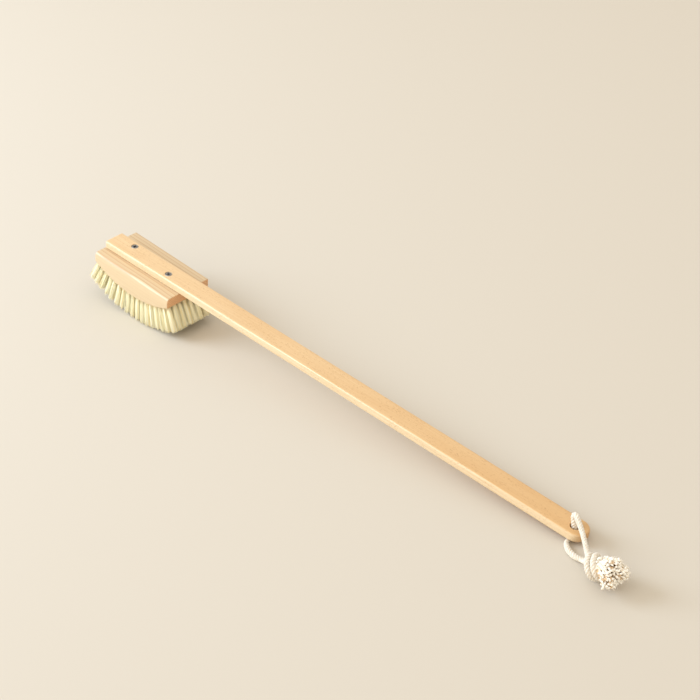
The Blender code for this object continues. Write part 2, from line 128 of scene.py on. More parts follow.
# Cord, from the foot of the hanging hole's axis on the table
CORD_DIAMETER = 0.0050
UPPER_ROUTE = (
    (-0.0004, -0.0003, 0.0085),
    (-0.0004, -0.0003, 0.0110),
    (-0.0014, 0.0004, 0.0164),
    (-0.0026, 0.0014, 0.0206),
    (0.0000, 0.0007, 0.0223),
    (0.0044, -0.0018, 0.0203),
    (0.0101, -0.0056, 0.0178),
    (0.0156, -0.0100, 0.0162),
    (0.0222, -0.0160, 0.0150),
    (0.0288, -0.0223, 0.0140),
)
UPPER_RADII = (  # at each point of the route, in radii of the cord
    1.04, 1.08, 1.12, 1.08, 1.04, 1.02, 0.96, 0.92, 0.92, 0.96,
)
LOWER_ROUTE = (
    (-0.0004, -0.0003, 0.0082),
    (-0.0004, -0.0004, 0.0064),
    (-0.0002, -0.0013, 0.0041),
    (0.0001, -0.0034, 0.0024),
    (0.0002, -0.0060, 0.0020),
    (0.0004, -0.0088, 0.0020),
    (0.0013, -0.0123, 0.0022),
    (0.0049, -0.0165, 0.0026),
    (0.0098, -0.0200, 0.0028),
    (0.0151, -0.0220, 0.0028),
    (0.0197, -0.0226, 0.0030),
    (0.0250, -0.0232, 0.0042),
)
LOWER_RADII = (0.84, 0.84, 0.84, 0.80, 0.78, 0.78, 0.86, 1.02, 1.10, 1.12, 1.10, 1.06)
CORD_PLIES = 4
CORD_LAY = 0.0105  # length of one full twist
CORD_PLY = 0.60  # a ply's radius, in radii of the cord
CORD_YARNS = 20  # yarns seen round the cord
CORD_YARN_LAY = 1.6  # how many times they turn in one full twist
CORD_YARN_DEPTH = 0.00018
CORD_SHADES = (0.35, 2.6)  # how dark the painted shade in the grooves between its yarns and between its plies is
CORD_STEP = 0.0005
CORD_SIDES = 80
ROUTE_STEPS = 6  # between two points of a route

# Knot: both strands run in together, turn once round themselves and run out through the turn
KNOT_CENTRE = (0.0439, -0.0310, 0.0124)
KNOT_AXIS = (0.92, 0.17, 0.35)
KNOT_CORE_RADIUS = 0.0034
KNOT_WRAP_RADIUS = 0.0092
KNOT_SPACING = 0.0057
KNOT_SHARE = 1.08  # radius of the cord inside it, in radii of the cord
KNOT_ENTRY = ((0.0061, -85, -0.0064), (0.0058, -31, -0.0113))  # of each strand: radius, degrees and along
KNOT_TWIST = 35  # how far a strand turns while it runs along the core, in degrees
KNOT_BEGIN = 10  # where each strand's turn round the core begins and ends, in degrees
KNOT_LEAVE = (425, 515)  # where each strand is back in the core, in degrees
KNOT_TURN_POINTS = 10
KNOT_EASE = (0.0004, 0.0003)  # how far a strand swings out next to its turn, and where it leaves the core

# Frayed ends: the cut yarns of both strands, opened into a bunch that the knot holds clear of the table
FRAY_SEED = 7
FRAY_TRIES = 3200  # directions tried for a yarn, of which those too near another one are left out
FRAY_SPACING = 0.00170  # least distance between two ends
FRAY_STRAYS = 3  # fine fibres on each yarn
FRAY_ROUND = (-85, 75)  # the directions tried, in degrees round from the handle's own
FRAY_TOP = 87  # and in degrees up
FRAY_LOW = (-40, -14, 0.24)  # its lower side: degrees up at these degrees round, and for each further degree
FRAY_BROW = (-41, 3.4)  # before these degrees round it is this much higher for each degree
FRAY_REACH = (  # how far it reaches in a direction: degrees round, degrees up and metres
    (-38, -12, 0.0180), (-36, 0, 0.0250), (-30, 4, 0.0285), (-16, 8, 0.0240), (-15, 28, 0.0215),
    (9, 13, 0.0280), (20, 34, 0.0225), (45, 38, 0.0158), (78, 32, 0.0108), (-30, 75, 0.0080),
    (30, 75, 0.0080), (60, 60, 0.0095), (-60, 30, 0.0105), (-70, 60, 0.0092), (-88, 75, 0.0085),
)
FRAY_BLEND = (2, 9, 1.5)  # weight of the degrees up, softness and falloff of these between each other
FRAY_UNEVEN = (-0.0003, 0.0013)  # how much shorter a yarn may be
FRAY_SUNK = 0.15  # how many of them end deeper, their ends in painted shade
FRAY_SUNK_BY = (0.0016, 0.0026)
FRAY_MOUTH = (0.0465, -0.0320, 0.0135)  # the middle of the cord's ends, where the bunch fans out from
FRAY_MOUTH_RADIUS = 0.0062
FRAY_CURL = 0.0006
YARN_STEPS = 20
YARN_SIDES = 8
YARN_CROWDING = 1.6  # the higher, the closer its last points stand
YARN_STRAIGHT = 0.3  # how much of its length leads out along the knot's axis
YARN_WAVES = (0.004, 0.007)  # length of one turn of its curl
YARN_RADII = (0.00042, 0.00062)
YARN_SWELL = (1.2, 0.0042, 0.7)  # its opened end: how much wider, in its own radii, how long and how full
YARN_RIPPLE = (0.12, 1.9)  # in its own radii, and how far it runs on with each point
YARN_BLUNT = (0.2, 0.1)  # how wide its last point stays, and where its rounding stops
YARN_PAINTED_SHADE = (0.0026, 1.2)  # over which length its painted shade grows towards the root, and how many such lengths its clean end has
YARN_PAINTED_SHADE_STRENGTH = 1.5  # how strong that painted shade is
STRAY_POINTS = (7, 4)  # how many points before a yarn's end its fine fibres may leave
STRAY_DRIFT = (0.0012, 0.0027)
STRAY_RADII = (0.00005, 0.00009)

# Camera, from the point on the table under the middle of the head's back
LENS = 97.93
CAMERA_FROM_HEAD = (1.1977, -1.0276, 1.0214)
AIM_FROM_HEAD = (0.19086, 0.07845, 0)
CAMERA_SIGHT = 20  # how far it sees

# Stage
FLOOR_SIZE = 6
FLOOR_SUNK = 0.0001  # how far it lies under the brush
FLOOR_COLOUR = (0.643, 0.590, 0.500, 1)
LAMP_PLACE = (-1.834, -1.191, 1.212)
LAMP_SIZE = 1.3
LAMP_WATTS = 54
LAMP_COLOUR = (0.69, 0.82, 1.0)
ROOM_COLOUR = (1.085, 1.0, 0.885, 1)
ROOM_STRENGTH = 0.544
ROOM_GLOWS = (  # the sides that are brighter, as a direction and how much
    ((-0.204, -0.865, 0.458), 0.95),
    ((0.879, 0.103, 0.465), 0.30),
    ((-0.26, 0.84, 0.47), 0.27),
)

# Worked out from the sizes and the frame
HALF_BLOCK = BLOCK_LENGTH / 2
FACE_RISE = BLOCK_MIDDLE_THICKNESS - BLOCK_END_THICKNESS
FACE_RADIUS = (HALF_BLOCK**2 + FACE_RISE**2) / (2 * FACE_RISE)
FACE_CENTRE_HEIGHT = FACE_RADIUS - BLOCK_MIDDLE_THICKNESS
HANDLE_BACK = GAP + HANDLE_THICKNESS
HANDLE_START = HANDLE_HEAD_INSET - HALF_BLOCK
HANDLE_END = HANDLE_START + HANDLE_LENGTH
HOLE_ALONG = HANDLE_END - HANGING_HOLE_FROM_TIP
TUFT_SPLAY = TUFT_LEAN / (TUFT_PITCH * TUFTS_IN_ROW / 2)


def brush_matrix():
    """From the brush's own frame, X along the handle and Z = 0 on the head's back, to the table's."""
    mount = frame["record"]["mounts"][0]
    up = Vector(mount["axis"]).normalized()
    across = Vector((0, 1, 0))
    along = across.cross(up)
    turn = Matrix((along, across, up)).transposed().to_4x4()
    return Matrix.Translation(Vector(mount["pos_m"]) - along * MOUNT_ALONG - up * HANDLE_BACK) @ turn


BRUSH = brush_matrix()
HEAD = BRUSH @ Matrix.Translation((0, BLOCK_OFFSET, 0)) @ Matrix.Rotation(-BLOCK_SKEW, 4, "Z")
HOLE_FOOT = BRUSH @ Vector((HOLE_ALONG, 0, GAP))
HOLE_FOOT.z = 0


# Node trees

def live(sockets, name=None):
    """The first socket in use, or the first of that name."""
    return next(s for s in sockets if s.enabled and name in (None, s.name))


class Tree:
    """A node tree under construction.

    An input given as a value is set, and one given as a socket is linked."""

    def __init__(self, group):
        self.group = group

    def add(self, kind, *inputs, named=None, **settings):
        node = self.group.nodes.new(kind)
        for name, value in settings.items():
            setattr(node, name, value)
        for index, value in enumerate(inputs):
            self.join(value, node.inputs[index])
        for name, value in (named or {}).items():
            self.join(value, live(node.inputs, name))
        return node

    def join(self, value, socket):
        if isinstance(value, bpy.types.NodeSocket):
            self.group.links.new(value, socket)
        else:
            socket.default_value = value

    def geometry(self, kind, **named):
        """The first output of a geometry node, whose inputs are given by name."""
        named = {name.replace("_", " "): value for name, value in named.items()}
        return self.add(f"GeometryNode{kind}", named=named).outputs[0]

    def store(self, geometry, name, value, domain="POINT"):
        """The geometry with a number kept under a name, for a material to read."""
        named = {"Geometry": geometry, "Name": name, "Value": value}
        kind = "GeometryNodeStoreNamedAttribute"
        return self.add(kind, data_type="FLOAT", domain=domain, named=named).outputs[0]

    def math(self, operation, *inputs):
        return self.add("ShaderNodeMath", *inputs, operation=operation).outputs[0]

    def vector(self, operation, *inputs):
        node = self.add("ShaderNodeVectorMath", operation=operation)
        for index, value in enumerate(inputs):
            socket = live(node.inputs, "Scale") if operation == "SCALE" and index else node.inputs[index]
            self.join(value, socket)
        return node.outputs["Value" if operation in ("LENGTH", "DOT_PRODUCT") else "Vector"]

    def xyz(self, x=0.0, y=0.0, z=0.0):
        return self.add("ShaderNodeCombineXYZ", x, y, z).outputs[0]

    def parts(self, vector):
        return self.add("ShaderNodeSeparateXYZ", vector).outputs

    def close(self, geometry, material):
        """Ends a modifier's tree with its geometry, shaded smooth and of one material."""
        smooth = self.add("GeometryNodeSetShadeSmooth", geometry).outputs[0]
        self.add("NodeGroupOutput", self.geometry("SetMaterial", Geometry=smooth, Material=material))
        return self.group


def modifier_tree(name, *numbers):
    """A tree for a modifier, and what it is given: a geometry and whole numbers with these names."""
    group = bpy.data.node_groups.new(name, "GeometryNodeTree")
    group.is_modifier = True
    face = group.interface
    face.new_socket("Geometry", in_out="INPUT", socket_type="NodeSocketGeometry")
    for number in numbers:
        face.new_socket(number, in_out="INPUT", socket_type="NodeSocketInt")
    face.new_socket("Geometry", in_out="OUTPUT", socket_type="NodeSocketGeometry")
    tree = Tree(group)
    return tree, tree.add("NodeGroupInput").outputs


# Materials

class Finish(Tree):
    """A material under construction."""

    def __init__(self, name, roughness, metallic=0.0):
        self.material = bpy.data.materials.new(name)
        self.material.use_nodes = True
        super().__init__(self.material.node_tree)
        self.shader = self.group.nodes["Principled BSDF"]
        self.shader.inputs["Roughness"].default_value = roughness
        self.shader.inputs["Metallic"].default_value = metallic

    def set(self, **values):
        for name, value in values.items():
            self.join(value, self.shader.inputs[name.replace("_", " ")])

    def place(self, scale, grain=Matrix()):
        """Object coordinates in the frame of the piece's own grain, scaled."""
        shift, turn, _ = grain.inverted().decompose()
        coordinates = self.add("ShaderNodeTexCoord").outputs["Object"]
        named = {"Location": shift, "Rotation": turn.to_euler()}
        lying = self.add("ShaderNodeMapping", coordinates, vector_type="POINT", named=named).outputs[0]
        return self.vector("MULTIPLY", lying, scale)

    def noise(self, where, detail=3.0, roughness=0.55):
        named = {"Vector": where, "Scale": 1.0, "Detail": detail, "Roughness": roughness}
        return self.add("ShaderNodeTexNoise", named=named).outputs["Fac"]

    def ramp(self, value, *stops):
        """A colour for each value. Each stop is a place and a grey or a colour."""
        node = self.add("ShaderNodeValToRGB", value)
        while len(node.color_ramp.elements) < len(stops):
            node.color_ramp.elements.new(0.5)
        for element, (place, colour) in zip(node.color_ramp.elements, stops):
            element.position = place
            element.color = (colour, colour, colour, 1) if isinstance(colour, (int, float)) else (*colour, 1)
        return node.outputs[0]

    def mix(self, share, first, second):
        first, second = ((*colour, 1) if isinstance(colour, tuple) else colour for colour in (first, second))
        node = self.add("ShaderNodeMix", data_type="RGBA", named={"Factor": share, "A": first, "B": second})
        return live(node.outputs)

    def attribute(self, name):
        return self.add("ShaderNodeAttribute", attribute_name=name).outputs["Fac"]

    def facing(self):
        """The surface's direction, as how far it looks along each of the table's axes."""
        return self.parts(self.add("ShaderNodeNewGeometry").outputs["Normal"])

    def bump(self, height, strength):
        named = {"Height": height, "Strength": strength, "Distance": BUMP_DEPTH}
        return self.add("ShaderNodeBump", named=named).outputs[0]


def handle_beech():
    """Oiled beech, riper towards its tail, paler at its sides partly as a painted highlight, with the short
    dark flecks of its rays.
    """
    wood = Finish("handle_beech", 0.48)
    broad = wood.noise(wood.place((9, 90, 90), BRUSH), detail=2.0)
    streak = wood.noise(wood.place((18, 900, 900), BRUSH), detail=4.0, roughness=0.6)
    pale = wood.ramp(broad, (0.30, (0.79, 0.563, 0.315)), (0.70, (0.825, 0.61, 0.356)))
    ripe = wood.ramp(broad, (0.30, (0.69, 0.422, 0.187)), (0.70, (0.735, 0.475, 0.225)))
    along = wood.parts(wood.place((1, 1, 1), BRUSH))[0]
    tone = wood.mix(wood.ramp(wood.math("MULTIPLY", along, 1.8), (0.0, 0.0), (0.95, 1.0)), pale, ripe)
    facing = wood.facing()
    # Paler sides: partly the planed sides' own paler grain, partly a painted highlight for the light they
    # catch.
    side = wood.ramp(wood.math("ABSOLUTE", facing[1]), (0.35, 0.0), (0.85, 0.75))
    end = wood.ramp(wood.math("ABSOLUTE", facing[0]), (0.45, 0.0), (0.95, 0.7))
    tone = wood.mix(end, wood.mix(side, tone, (0.84, 0.71, 0.49)), (0.60, 0.34, 0.14))
    shaded = wood.mix(wood.ramp(streak, (0.35, 0.0), (0.70, 0.45)), tone, (0.62, 0.37, 0.15))
    named = {"Vector": wood.place((240, 1900, 1900), BRUSH), "Scale": 1.0}
    cells = wood.add("ShaderNodeTexVoronoi", named=named).outputs["Distance"]
    fleck = wood.ramp(cells, (0.16, 1.0), (0.30, 0.0))
    strewn = wood.ramp(wood.noise(wood.place((60, 200, 200), BRUSH)), (0.40, 0.15), (0.58, 0.75))
    wood.set(Base_Color=wood.mix(wood.math("MULTIPLY", fleck, strewn), shaded, (0.38, 0.18, 0.065)))
    pores = wood.noise(wood.place((90, 2600, 2600), BRUSH), detail=2.0)
    wood.set(Roughness=wood.ramp(pores, (0.3, 0.32), (0.7, 0.44)))
    wood.set(Normal=wood.bump(pores, 0.18))
    return wood.material


def head_beech():
    """Sanded beech, with its growth rings as lines along the back and sides and as arcs on the ends."""
    wood = Finish("head_beech", 0.40)
    wander = wood.noise(wood.place((9, 40, 40), HEAD), detail=2.0)
    parts = wood.parts(wood.place((1, 1, 1), HEAD))
    flat = wood.xyz(0.0, wood.math("ADD", parts[1], RING_ACROSS), wood.math("ADD", parts[2], RING_DEPTH))
    bowed = wood.math("ADD", wood.vector("LENGTH", flat), wood.math("MULTIPLY", wander, RING_WANDER))
    ring = wood.math("FRACT", wood.math("DIVIDE", bowed, RING_STEP))
    line = wood.ramp(ring, (0.0, 0.0), (0.62, 0.22), (0.90, 1.0), (1.0, 0.0))
    streak = wood.noise(wood.place((22, 800, 800), HEAD), detail=4.0, roughness=0.6)
    tone = wood.mix(wood.ramp(streak, (0.35, 0.0), (0.70, 0.5)), (0.715, 0.562, 0.353), (0.66, 0.49, 0.291))
    shown = wood.math("MULTIPLY", line, wood.ramp(wood.facing()[2], (0.05, 0.15), (0.9, 0.75)))
    ringed = wood.mix(shown, tone, (0.54, 0.318, 0.145))
    pores = wood.noise(wood.place((1500, 1500, 1500), HEAD), detail=2.0)
    dark = wood.mix(line, (0.78, 0.43, 0.20), (0.36, 0.16, 0.06))
    sawn = wood.mix(wood.ramp(pores, (0.4, 0.0), (0.65, 0.5)), dark, (0.84, 0.52, 0.28))
    wood.set(Base_Color=wood.mix(wood.attribute("end_grain"), ringed, sawn))
    wood.set(Normal=wood.bump(wood.math("ADD", streak, pores), 0.15))
    return wood.material


def plant_fibre():
    """Pale stiff plant fibre, each one its own shade, with painted shade darkening it towards the wood."""
    fibre = Finish("plant_fibre", 0.52)
    own = fibre.attribute("fibre_shade")
    run = fibre.attribute("fibre_run")
    tone = fibre.ramp(own, (0.0, (1.0, 0.82, 0.42)), (0.35, (1.0, 0.93, 0.60)), (0.8, (1.0, 0.965, 0.74)))
    # Painted shade: darker and browner near the roots, where the shade between the tufts falls.
    fibre.set(Base_Color=fibre.mix(fibre.ramp(run, (0.0, 0.5), (0.28, 0.0)), tone, (0.70, 0.50, 0.20)))
    return fibre.material


def dark_steel():
    """Dull dark steel, a little mottled."""
    steel = Finish("dark_steel", 0.38, 1.0)
    mottle = steel.noise(steel.place((2200, 2200, 2200)))
    steel.set(Base_Color=steel.ramp(mottle, (0.3, (0.24, 0.242, 0.245)), (0.7, (0.46, 0.46, 0.46))))
    steel.set(Roughness=steel.ramp(mottle, (0.3, 0.50), (0.7, 0.34)))
    return steel.material


def cotton(pale=1.0):
    """Undyed cotton, with painted shade, darker and yellower, in the grooves between its plies and yarns."""
    cloth = Finish("cotton_cord", 0.9)
    groove_shade = cloth.attribute("groove_shade")
    spots = cloth.noise(cloth.place((700, 700, 700)), detail=2.0)
    # A pale above 1 makes a lighter copy of the cotton, as painted light.
    dull = (0.84 * pale, 0.755 * pale, 0.61 * pale)
    clean = (0.885 * pale, 0.86 * pale, 0.79 * pale)
    tone = cloth.ramp(spots, (0.36, dull), (0.54, clean))
    cloth.set(Base_Color=cloth.mix(cloth.math("MULTIPLY", groove_shade, 0.55), tone, (0.74, 0.50, 0.24)))
    cloth.set(Normal=cloth.bump(cloth.noise(cloth.place((3500, 3500, 3500))), 0.5))
    cloth.set(Sheen_Weight=0.3)
    return cloth.material


HANDLE_WOOD = handle_beech()
HEAD_WOOD = head_beech()
FIBRE = plant_fibre()
STEEL = dark_steel()
COTTON = cotton()
# The loose yarns get a lighter copy of the cotton: painted light against the shade among them.
LOOSE_COTTON_PAINTED_LIGHTER = cotton(pale=1.10)


# Pieces

def new_object(name, data):
    made = bpy.data.objects.new(name, data)
    bpy.context.scene.collection.objects.link(made)
    return made


def piece(name, mesh, replaces, finish=None):
    """A finished piece: its mesh holds its place, and it rides on the brush's one body."""
    if finish:
        mesh.materials.clear()
        mesh.materials.append(finish)
    made = new_object(name, mesh)
    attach(made, BODY)
    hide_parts(*replaces)
    return made


def baked(carrier):
    """The evaluated shape of an object as a plain mesh. The object and its modifiers are removed."""
    bpy.context.view_layer.update()
    evaluated = carrier.evaluated_get(bpy.context.evaluated_depsgraph_get())
    mesh = bpy.data.meshes.new_from_object(evaluated)
    bpy.data.objects.remove(carrier, do_unlink=True)
    return mesh


def grown(carrier, group, **numbers):
    """The mesh that a modifier's node tree makes of an object. The object is removed."""
    step = carrier.modifiers.new(group.name, "NODES")
    step.node_group = group
    for name, value in numbers.items():
        step[next(s.identifier for s in group.interface.items_tree if s.name == name)] = value
    return baked(carrier)


def built(name, build):
    """An object whose shape a function fills in."""
    shape = bmesh.new()
    build(shape)
    mesh = bpy.data.meshes.new(name)
    shape.to_mesh(mesh)
    shape.free()
    return new_object(name, mesh)


def turned(name, profiles, steps):
    """Closed turned shapes in one object. Each profile is its place and its points, top to bottom.

    A point is a radius and a height."""

    def build(shape):
        for (x, y), profile in profiles:
            corners = [shape.verts.new((radius, 0, height)) for radius, height in profile]
            edges = [shape.edges.new(pair) for pair in zip(corners, corners[1:])]
            bmesh.ops.spin(
                shape, geom=corners + edges, cent=(0, 0, 0), axis=(0, 0, 1), angle=2 * math.pi, steps=steps
            )
            bmesh.ops.remove_doubles(shape, verts=shape.verts, dist=SMALLEST)
            fresh = [vertex for vertex in shape.verts if not vertex.tag]
            bmesh.ops.translate(shape, verts=fresh, vec=(x, y, 0))
            for vertex in fresh:
                vertex.tag = True
        bmesh.ops.recalc_face_normals(shape, faces=shape.faces)

    return built(name, build)


def cut(carrier, cutter, crossing=False):
    """The mesh of a carrier without the cutter's shape. A crossing cutter's shells run into each other."""
    step = carrier.modifiers.new(cutter.name, "BOOLEAN")
    step.operation = "DIFFERENCE"
    step.solver = "EXACT"
    step.object = cutter
    step.use_self = crossing
    mesh = baked(carrier)
    bpy.data.objects.remove(cutter, do_unlink=True)
    return mesh


def shade(mesh):
    mesh.shade_smooth()
    mesh.set_sharp_from_angle(angle=SHARP_ANGLE)
    return mesh


def press_on_table(mesh):
    """Flattens what would reach under the table's top."""
    places = np.empty(len(mesh.vertices) * 3, dtype=np.float32)
    mesh.vertices.foreach_get("co", places)
    heights = places[2::3]
    np.maximum(heights, SMALLEST, out=heights)
    mesh.vertices.foreach_set("co", places)
    mesh.update()


# Handle

def build_handle():
    half = HANDLE_WIDTH / 2
    corner = HANDLE_HEAD_INSET
    angles = [math.pi * (step / HANDLE_TAIL_STEPS - 0.5) for step in range(HANDLE_TAIL_STEPS + 1)]
    tail = [(HANDLE_END - half + half * math.cos(a), half * math.sin(a)) for a in angles]
    outline = [
        (HANDLE_START, -half + corner), (HANDLE_START + corner, -half), *tail,
        (HANDLE_START + corner, half), (HANDLE_START, half - corner),
    ]

    def build(shape):
        face = shape.faces.new([shape.verts.new((x, y, GAP)) for x, y in outline])
        raised = bmesh.ops.extrude_face_region(shape, geom=[face])["geom"]
        tops = [item for item in raised if isinstance(item, bmesh.types.BMVert)]
        bmesh.ops.translate(shape, verts=tops, vec=(0, 0, HANDLE_BACK - GAP))
        bmesh.ops.recalc_face_normals(shape, faces=shape.faces)
        rims = [edge for edge in shape.edges if abs(edge.verts[0].co.z - edge.verts[1].co.z) < SMALLEST]
        bmesh.ops.bevel(
            shape, geom=rims, offset=HANDLE_EDGE_RADIUS, segments=HANDLE_EDGE_STEPS, profile=0.5,
            affect="EDGES",
        )

    radius = HANGING_HOLE_DIAMETER / 2
    flare = radius + HANGING_HOLE_CHAMFER + CUT_PAST
    hole = (
        (0, HANDLE_BACK + CUT_PAST), (flare, HANDLE_BACK + CUT_PAST),
        (radius, HANDLE_BACK - HANGING_HOLE_CHAMFER), (radius, GAP + HANGING_HOLE_CHAMFER),
        (flare, GAP - CUT_PAST), (0, GAP - CUT_PAST),
    )
    seat = SCREW_HEAD_RADIUS + GAP
    shank = SCREW_SHANK_RADIUS + GAP
    sink = (
        (0, HANDLE_BACK + CUT_PAST), (seat, HANDLE_BACK + CUT_PAST), (seat, HANDLE_BACK - SCREW_SUNK - GAP),
        (shank, HANDLE_BACK - seat + shank - SCREW_SUNK - GAP), (shank, -CUT_PAST), (0, -CUT_PAST),
    )
    cutters = [((HOLE_ALONG, 0), hole), *((place, sink) for place in SCREW_PLACES.values())]
    mesh = cut(built("handle_wood", build), turned("handle_cutters", cutters, HOLE_STEPS))
    mesh.transform(BRUSH)
    piece("handle_wood", shade(mesh), ["handle"], HANDLE_WOOD)


# Head

def face_height(x):
    """The bristles' side of the block, which is a part of a cylinder."""
    return FACE_CENTRE_HEIGHT - math.sqrt(FACE_RADIUS**2 - x * x)


def face_place(arc_length, radius):
    """A frame at a place along that side, upright on it."""
    angle = arc_length / FACE_RADIUS
    spot = (radius * math.sin(angle), 0, FACE_CENTRE_HEIGHT - radius * math.cos(angle))
    return Matrix.Translation(spot) @ Matrix.Rotation(-angle, 4, "Y")


def row_arcs():
    return [(row - (ROWS - 1) / 2) * TUFT_PITCH for row in range(ROWS)]


def build_head():
    half = BLOCK_WIDTH / 2

    def rounded(radius, steps):
        """A long edge of the back, from the side up to the back, as the near one lies."""
        angles = [math.pi / 2 * step / steps for step in range(steps + 1)]
        return [(radius * (1 - math.cos(a)) - half, radius * (math.sin(a) - 1)) for a in angles]

    back = rounded(*BLOCK_NEAR_EDGE) + [(-y, z) for y, z in reversed(rounded(*BLOCK_FAR_EDGE))]

    def build(shape):
        grain = shape.verts.layers.float.new("end_grain")
        loops = []
        for station in range(BLOCK_STATIONS + 1):
            x = HALF_BLOCK * (2 * station / BLOCK_STATIONS - 1)
            low = face_height(x)
            loops.append([shape.verts.new((x, y, z)) for y, z in [(-half, low), *back, (half, low)]])
        for first, second in zip(loops, loops[1:]):
            for index in range(len(first)):
                after = (index + 1) % len(first)
                shape.faces.new((first[index], second[index], second[after], first[after]))
        for loop in (loops[0], loops[-1]):
            shape.faces.new(loop)
        bmesh.ops.recalc_face_normals(shape, faces=shape.faces)
        arrises = [edge for edge in shape.edges if edge.calc_face_angle() > BLOCK_ARRIS_ANGLE]
        bmesh.ops.bevel(
            shape, geom=arrises, offset=BLOCK_ARRIS_RADIUS, segments=3, profile=0.5, affect="EDGES",
            clamp_overlap=True,
        )
        for vertex in shape.verts:
            vertex[grain] = float(abs(vertex.co.x) > HALF_BLOCK - BLOCK_ARRIS_RADIUS / 3)

    def holes(shape):
        for arc_length in row_arcs():
            for tuft in range(TUFTS_IN_ROW):
                across = (tuft - (TUFTS_IN_ROW - 1) / 2) * TUFT_PITCH
                bmesh.ops.create_cone(
                    shape, cap_ends=True, segments=TUFT_HOLE_STEPS, radius1=TUFT_HOLE_RADIUS,
                    radius2=TUFT_HOLE_RADIUS, depth=2 * TUFT_HOLE_DEPTH,
                    matrix=face_place(arc_length, FACE_RADIUS) @ Matrix.Translation((0, across, 0)),
                )

    mesh = cut(built("head_wood", build), built("tuft_holes", holes))
    mesh.transform(HEAD)
    piece("head_wood", shade(mesh), ["head_block"], HEAD_WOOD)


# Tufts

def tuft_middle(tree, tuft):
    """How far across the head a tuft stands, and how far it leans outwards."""
    across = tree.math("MULTIPLY", tree.math("SUBTRACT", tuft, (TUFTS_IN_ROW - 1) / 2), TUFT_PITCH)
    return across, tree.math("MULTIPLY", across, TUFT_SPLAY)


def tuft_sway(tree, seed, tuft):
    """How a whole tuft leans by chance, along and across the head."""
    limits = {"Min": (-TUFT_SWAY, -TUFT_SWAY, 0), "Max": (TUFT_SWAY, TUFT_SWAY, 0)}
    named = {**limits, "ID": tuft, "Seed": seed}
    return live(tree.add("FunctionNodeRandomValue", data_type="FLOAT_VECTOR", named=named).outputs)


def tuft_cores(tree, seed):
    """The dense middle of each tuft in a row, as a fluted cone that widens towards the tips."""
    core = tree.geometry(
        "MeshCone", Vertices=TUFT_CORE_SIDES, Radius_Top=TUFT_CORE * TUFT_TIP_RADIUS,
        Radius_Bottom=TUFT_CORE * TUFT_RADIUS, Depth=BRISTLE_LENGTH * TUFT_CORE_LENGTH,
    )
    index = tree.geometry("InputIndex")
    place = tree.geometry("InputPosition")
    odd = tree.math("MODULO", index, 2.0)
    fluted = tree.vector("SCALE", place, tree.math("MULTIPLY", odd, -TUFT_CORE_GROOVE))
    core = tree.geometry("SetPosition", Geometry=core, Offset=tree.vector("MULTIPLY", fluted, (1, 1, 0)))
    run = tree.math("DIVIDE", tree.parts(place)[2], BRISTLE_LENGTH)
    core = tree.store(core, "fibre_run", run)
    core = tree.store(core, "fibre_shade", live(tree.add("FunctionNodeRandomValue").outputs), "FACE")
    across, lean = tuft_middle(tree, index)
    aim = tree.vector("ADD", tree.xyz(0.0, lean, -BRISTLE_LENGTH), tuft_sway(tree, seed, index))
    turn = tree.add("FunctionNodeAlignRotationToVector", axis="Z", named={"Vector": aim}).outputs[0]
    points = tree.geometry("Points", Count=TUFTS_IN_ROW)
    points = tree.geometry("SetPosition", Geometry=points, Position=tree.xyz(0.0, across))
    return tree.geometry("InstanceOnPoints", Points=points, Instance=core, Rotation=turn)


def one_fibre(tree):
    """A thin bent prism that tapers, one long and one wide."""
    line = tree.add("GeometryNodeCurvePrimitiveLine", (0, 0, 0), (0, 0, 1)).outputs[0]
    line = tree.geometry("ResampleCurve", Curve=line, Count=FIBRE_RINGS)
    along = tree.add("GeometryNodeSplineParameter").outputs["Factor"]
    line = tree.store(line, "fibre_run", along)
    section = tree.geometry("CurvePrimitiveCircle", Resolution=FIBRE_SIDES, Radius=1.0)
    taper = tree.math("SUBTRACT", 1.0, tree.math("MULTIPLY", along, FIBRE_TAPER))
    fibre = tree.geometry("CurveToMesh", Curve=line, Profile_Curve=section, Scale=taper, Fill_Caps=True)
    height = tree.parts(tree.geometry("InputPosition"))[2]
    arch = tree.math("MULTIPLY", height, tree.math("SUBTRACT", 1.0, height))
    bow = tree.math("MULTIPLY", arch, FIBRE_BOW)
    return tree.geometry("SetPosition", Geometry=fibre, Offset=tree.xyz(bow))


